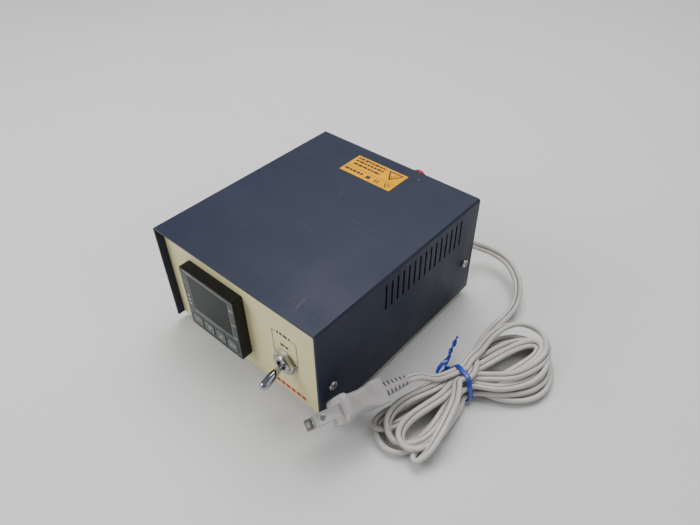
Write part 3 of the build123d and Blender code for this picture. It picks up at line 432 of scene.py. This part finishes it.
guide = [Vector(LEAD[-1]), Vector((102.4, 38, 6.5)), Vector((106.5, 20, 12.5))]
for index in range(len(PASSES)):
    guide += through_tie(index)
    if index < len(PASSES) - 1:
        turns = REAR_TURNS if index % 2 else FRONT_TURNS
        guide += [Vector(p) for p in turns[index // 2]]
line = np.array([tuple(p) for p in rounded(guide, 3.0)])

# Strands push each other apart, while each stays near its drawn place and above the bench.
FLAT_GAP, STACK_GAP = 5.2, 3.5              # how near strands lie, side by side and stacked
LOWEST, HIGHEST = 2.5, 16.5
TIE_REACH, TIE_HOLD, LOOSE_HOLD = 5.5, 0.20, 0.012
PUSH, STRAIGHTEN, ROUNDS = 0.25, 0.10, 140
NEIGHBOURS = 4                              # points this close along the line don't push
home = line.copy()
squeeze = np.array((1.0, 1.0, FLAT_GAP / STACK_GAP))
to_tie = (home - np.array(tuple(TIE))) @ np.array(tuple(ALONG))
grip = np.where(np.abs(to_tie) < TIE_REACH, TIE_HOLD, LOOSE_HOLD)[:, None]
grip[:3] = 1.0
grip[-3:] = 1.0
order = np.arange(len(line))
apart = np.abs(order[:, None] - order[None, :]) > NEIGHBOURS
for _ in range(ROUNDS):
    gaps = (line[:, None, :] - line[None, :, :]) * squeeze
    dist = np.sqrt((gaps ** 2).sum(axis=2)) + 1e-6
    near = apart & (dist < FLAT_GAP)
    push = np.where(near, (FLAT_GAP - dist) / dist * PUSH, 0)[:, :, None] * gaps / squeeze
    line += push.sum(axis=1)
    halfway = (line[:-2] + line[2:]) / 2
    line[1:-1] += (halfway - line[1:-1]) * STRAIGHTEN
    line += (home - line) * grip
    line[:, 2] = np.clip(line[:, 2], LOWEST, HIGHEST)

out_of_tie = TIE - ALONG * 15.5 - SIDE * 3.1 + Vector((0, 0, 14.2))
TAIL = [out_of_tie, relief_end - BLADES * 9, relief_end]
route = [Vector(p) for p in LEAD[:-1]] + [Vector(p) for p in line] + TAIL

# one smooth curve through the whole route, read back as points in metres
SHORTEST_STEP = 0.0006
curve = bpy.data.curves.new("cord_line", "CURVE")
curve.dimensions = "3D"
spline = curve.splines.new("NURBS")
spline.points.add(len(route) - 1)
for point, p in zip(spline.points, route):
    point.co = (*(p * MM), 1)
spline.order_u = 3
spline.use_endpoint_u = True
spline.resolution_u = 4
line_object = bpy.data.objects.new("cord_line", curve)
bpy.context.scene.collection.objects.link(line_object)
sampled = bpy.data.meshes.new_from_object(line_object)
path = [v.co.copy() for v in sampled.vertices]
bpy.data.objects.remove(line_object)
kept = [path[0]]
for p in path[1:]:
    if (p - kept[-1]).length > SHORTEST_STEP:
        kept.append(p)
path = kept


def twin_profile(width, thick):
    """Outline of a flat twin flex: two round cores side by side, a groove between."""
    r = thick / 2
    shift = width / 2 - r
    groove = r * 0.62
    half = [(shift + r * cos(a), r * sin(a)) for a in np.radians(np.linspace(-136, 136, 9))]
    return [*half, (0.0, groove), *[(-x, -y) for x, y in half], (0.0, -groove)]


profile = twin_profile(CORD_W * MM, CORD_T * MM)
steps = [(b - a).length for a, b in zip(path, path[1:])]
travelled = np.concatenate(([0], np.cumsum(steps)))


def direction(points, i):
    """The way a line of points runs at point i."""
    return (points[min(i + 1, len(points) - 1)] - points[max(i - 1, 0)]).normalized()


tangents = [direction(path, i) for i in range(len(path))]
BEND_OVER, TILT_OVER = 0.006, 0.012         # metres to each side that a value is taken over


def bend_at(i):
    """Turn of the line, in radians per metre, over a short stretch around point i."""
    a = np.searchsorted(travelled, travelled[i] - BEND_OVER)
    b = min(np.searchsorted(travelled, travelled[i] + BEND_OVER), len(path) - 1)
    return tangents[a].angle(tangents[b]) / max(travelled[b] - travelled[a], 1e-5)


# The flex lies nearly flat on straight stretches and tips towards its edge round a tight turn.
GENTLE, TIGHT = 12, 72                      # radians per metre
LYING_TILT, WANDER_TILT, EDGE_TILT = 8, 10, 50      # degrees
bends = np.array([bend_at(i) for i in range(len(path))])
edge_on = np.clip((bends - GENTLE) / (TIGHT - GENTLE), 0, 1)
tilts = LYING_TILT + WANDER_TILT * np.sin(travelled * 37) + EDGE_TILT * edge_on
tilts = np.array([tilts[np.abs(travelled - s) < TILT_OVER].mean() for s in travelled])
CLEAR_OF_BENCH = 0.05                       # mm
verts, faces = [], []
for p, t, tilt in zip(path, tangents, tilts):
    side = Vector((0, 0, 1)).cross(t).normalized()
    top = t.cross(side)
    turn = radians(tilt)
    wide = side * cos(turn) + top * sin(turn)
    thin = t.cross(wide)
    skin = [p + wide * x + thin * y for x, y in profile]
    verts += [Vector((v.x, v.y, max(v.z, CLEAR_OF_BENCH * MM))) for v in skin]
n = len(profile)
for i in range(len(path) - 1):
    for k in range(n):
        j = (k + 1) % n
        faces.append((i * n + k, i * n + j, (i + 1) * n + j, (i + 1) * n + k))
faces.append(tuple(reversed(range(n))))
faces.append(tuple(range((len(path) - 1) * n, len(path) * n)))
cord = mesh_object("mains_cord", [v / MM for v in verts], faces, CORD, smooth=True)
# the faces down the groove between the cores take the darker finish, painted shade with some dirt
cord.data.materials.append(GROOVE_DIRT_AND_SHADE)
grooves = (n // 2 - 2, n // 2 - 1, n - 2, n - 1)
for index, polygon in enumerate(cord.data.polygons[:(len(path) - 1) * n]):
    if index % n in grooves:
        polygon.material_index = 1
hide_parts("cord_lead", "cord_hank", "cord_tail")


# The tie's band is drawn tight round every strand that passes through it.
BAND_HOLDS, BAND_CLEAR, BAND_LOWEST = 3.5, 0.15, 0.3
BAND_SIDES = 64
BAND_HALF = 1.5
# how far the band stands out, across its width from one edge to the other
BAND_SWELL = ((0.0, -BAND_HALF), (0.55, -BAND_HALF), (0.75, -0.5), (0.55, 0.0), (0.75, 0.5),
              (0.55, BAND_HALF), (0.0, BAND_HALF))
held_points = []
for v in verts:
    from_tie = Vector(v) / MM - TIE
    if abs(from_tie.dot(ALONG)) < BAND_HOLDS:
        held_points.append((from_tie.dot(SIDE), from_tie.z))
held_points = np.array(held_points)
centre = (held_points.max(axis=0) + held_points.min(axis=0)) / 2
bearings = np.linspace(0, 2 * pi, BAND_SIDES, endpoint=False)
normals = np.stack((np.cos(bearings), np.sin(bearings)), axis=1)
reaches = ((held_points - centre) @ normals.T).max(axis=0) + BAND_CLEAR
corners = []
for i in range(BAND_SIDES):
    k = (i + 1) % BAND_SIDES
    corners.append(centre + np.linalg.solve(normals[[i, k]], reaches[[i, k]]))
corners = np.array(corners)
corners = (np.roll(corners, 1, axis=0) + 2 * corners + np.roll(corners, -1, axis=0)) / 4
outward = corners - centre
outward /= np.linalg.norm(outward, axis=1)[:, None]
verts, faces = [], []
for i in range(BAND_SIDES):
    lean = 0.8 * sin(bearings[i])
    for swell, off in BAND_SWELL:
        u, z = corners[i] + outward[i] * swell
        height = Vector((0, 0, max(float(z), BAND_LOWEST)))
        verts.append(TIE + SIDE * float(u) + height + ALONG * (off + lean))
n = len(BAND_SWELL)
for i in range(BAND_SIDES):
    for k in range(n):
        j, m = (i + 1) % BAND_SIDES, (k + 1) % n
        faces.append((i * n + k, j * n + k, j * n + m, i * n + m))
tie = mesh_object("tie_band", verts, faces, BLUE, smooth=True)


RIBBON_T = 0.44


def ribbon(name, points, width, turns, start):
    """A thin strip of the tie that twists as it goes."""
    line = rounded(points, 0.7)
    verts, faces = [], []
    for i, p in enumerate(line):
        t = direction(line, i)
        a = start + 2 * pi * turns * i / (len(line) - 1)
        side = t.cross(Vector((0, 0, 1))).normalized()
        top = side.cross(t)
        wide = (side * cos(a) + top * sin(a)) * width / 2
        thin = t.cross(wide).normalized() * RIBBON_T / 2
        verts += [p + wide + thin, p - wide + thin, p - wide - thin, p + wide - thin]
    for i in range(len(line) - 1):
        for k in range(4):
            m = (k + 1) % 4
            faces.append((i * 4 + k, i * 4 + m, i * 4 + 4 + m, i * 4 + 4 + k))
    faces.append((3, 2, 1, 0))
    faces.append(tuple(len(line) * 4 - 4 + k for k in range(4)))
    return mesh_object(name, verts, faces, BLUE)


KNOT = (94.4, 9.4, 8.0)
tie_pieces = [
    tie,
    ribbon("tie_leg_front", [(99.6, 2.6, 9.5), (96.0, -4.0, 6.6), (94.2, -1.0, 7.0),
                             (94.0, 5.0, 8.0), KNOT], width=2.4, turns=0.4, start=0.9),
    ribbon("tie_leg_rear", [(99.2, 5.0, 7.0), (96.8, 3.0, 7.0), (95.4, 5.6, 7.6), KNOT],
           width=2.4, turns=0.6, start=0.2),
    ribbon("tie_tail_long", [KNOT, (93.2, 13, 10.2), (92.6, 17.0, 12.6), (91.6, 22.4, 15.2)],
           width=2.4, turns=1.3, start=0.4),
    ribbon("tie_tail_short", [KNOT, (93.8, 12.4, 9.2), (92.4, 16.4, 11.0), (92.6, 20.4, 11.8)],
           width=2.2, turns=1.4, start=1.9),
]
for piece in tie_pieces:
    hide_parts("cord_tie")

# ---- plug ------------------------------------------------------------------------------------

BROAD = (-BLADES).cross(GAP)                # the way the blades are broad
CORNER_STEPS = 6


def section(z, width, height, corner, shift=0.0):
    """A rounded rectangle across the plug, z mm behind the face the blades leave."""
    points = []
    corner = min(corner, width / 2 - 0.01, height / 2 - 0.01)
    for cx, cy, start in ((1, 1, 0), (-1, 1, 90), (-1, -1, 180), (1, -1, 270)):
        for i in range(CORNER_STEPS + 1):
            a = radians(start + 90 * i / CORNER_STEPS)
            x = shift + cx * (width / 2 - corner) + corner * cos(a)
            y = cy * (height / 2 - corner) + corner * sin(a)
            points.append(PLUG_FACE - BLADES * z + GAP * x + BROAD * y)
    return points


def lofted(name, chains, material):
    """A closed skin over each chain of rings, all in one piece."""
    verts, faces = [], []
    for rings in chains:
        first, n = len(verts), len(rings[0])
        for ring in rings:
            verts += ring
        last = len(verts) - n
        for near in range(first, last, n):
            far = near + n
            for k in range(n):
                j = (k + 1) % n
                faces.append((near + k, near + j, far + j, far + k))
        faces.append(tuple(reversed(range(first, first + n))))
        faces.append(tuple(range(last, last + n)))
    obj = mesh_object(name, verts, faces, material, smooth=True)
    soft = obj.modifiers.new("edges", "EDGE_SPLIT")
    soft.split_angle = radians(34)
    return obj


# mm behind the blades' face, width, height and corner: flange, waist, then the broad grip
PLUG_SECTIONS = ((0.0, 23.8, 13.8, 2.8), (0.5, 24.6, 14.6, 3.2), (2.8, 24.6, 14.6, 3.2),
                 (3.3, 24.0, 14.0, 3.0), (3.5, 16.2, 13.8, 2.8), (6.0, 14.6, 12.9, 2.8),
                 (9.5, 13.4, 12.2, 2.8), (13.5, 12.9, 12.0, 2.6), (17.0, 13.8, 12.5, 2.2),
                 (19.5, 15.4, 13.7, 1.5), (20.6, 16.0, 14.4, 1.0), (27.0, 15.8, 14.2, 1.0),
                 (PLUG_LEN, 15.2, 13.6, 0.9))
plug_rings = [section(*numbers) for numbers in PLUG_SECTIONS]
plug = lofted("plug_moulding", [plug_rings], PLUG_VINYL)
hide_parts("plug_body")

# The strain relief is a thin core inside ribs that shrink towards the cord, joined by two webs.
RIBS, RIB_T = 7, 1.6
RIB_PITCH = (RELIEF_LEN - RIB_T) / (RIBS - 1)


def relief_size(z):
    """The strain relief's (width, height) z mm behind the plug's moulding."""
    k = z / RELIEF_LEN
    return 10.4 - 2.6 * k, 8.6 - 2.8 * k


core = [section(PLUG_LEN - 0.3, 8.6, 5.6, 1.6),
        section(PLUG_LEN + RELIEF_LEN - 0.4, 6.4, 3.6, 1.5)]
relief_chains = [core]
for i in range(RIBS):
    rib = []
    for dz, grow in ((-0.05, -0.3), (0.15, 0.0), (1.45, 0.0), (1.65, -0.3)):
        z = i * RIB_PITCH + dz
        width, height = relief_size(z)
        rib.append(section(PLUG_LEN + z, width + grow, height + grow, 1.7))
    relief_chains.append(rib)
for side_sign in (-1, 1):
    web = []
    for z in (0.0, RELIEF_LEN - 0.6):
        width, height = relief_size(z)
        web.append(section(PLUG_LEN + z, 1.6, 2.6, 0.5, shift=side_sign * (width / 2 - 0.85)))
    relief_chains.append(web)
relief = lofted("plug_relief", relief_chains, PLUG_VINYL)
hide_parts("plug_strain_relief")

# ---- stage and light -------------------------------------------------------------------------

bpy.ops.mesh.primitive_plane_add(size=6, location=(0, 0, 0))
floor = bpy.context.object
floor.name = "floor"
floor_finish = surface("floor_finish", (0.74, 0.74, 0.73), 0.7, shade=0.01, patch=3, bump=0.02)
floor.data.materials.append(floor_finish)


def lamp(name, position, target, width, power):
    """A square soft white light aimed at a point."""
    data = bpy.data.lights.new(name, "AREA")
    data.size = width
    data.energy = power
    obj = bpy.data.objects.new(name, data)
    obj.location = position
    aim = Vector(target) - Vector(position)
    obj.rotation_euler = aim.to_track_quat("-Z", "Y").to_euler()
    bpy.context.scene.collection.objects.link(obj)


lamp("key", (-0.20, 0.40, 1.15), (0.03, 0, 0.02), 0.9, 15)
lamp("front", (-0.60, -0.75, 0.70), (0.0, -0.02, 0.03), 0.6, 8)
lamp("side", (0.9, 0.1, 0.7), (0.08, 0, 0.02), 0.5, 1.0)
world = bpy.data.worlds.new("world")
world.use_nodes = True
sky = world.node_tree.nodes["Background"]
sky.inputs["Color"].default_value = (0.9, 0.93, 1.0, 1)
sky.inputs["Strength"].default_value = 0.26
bpy.context.scene.world = world
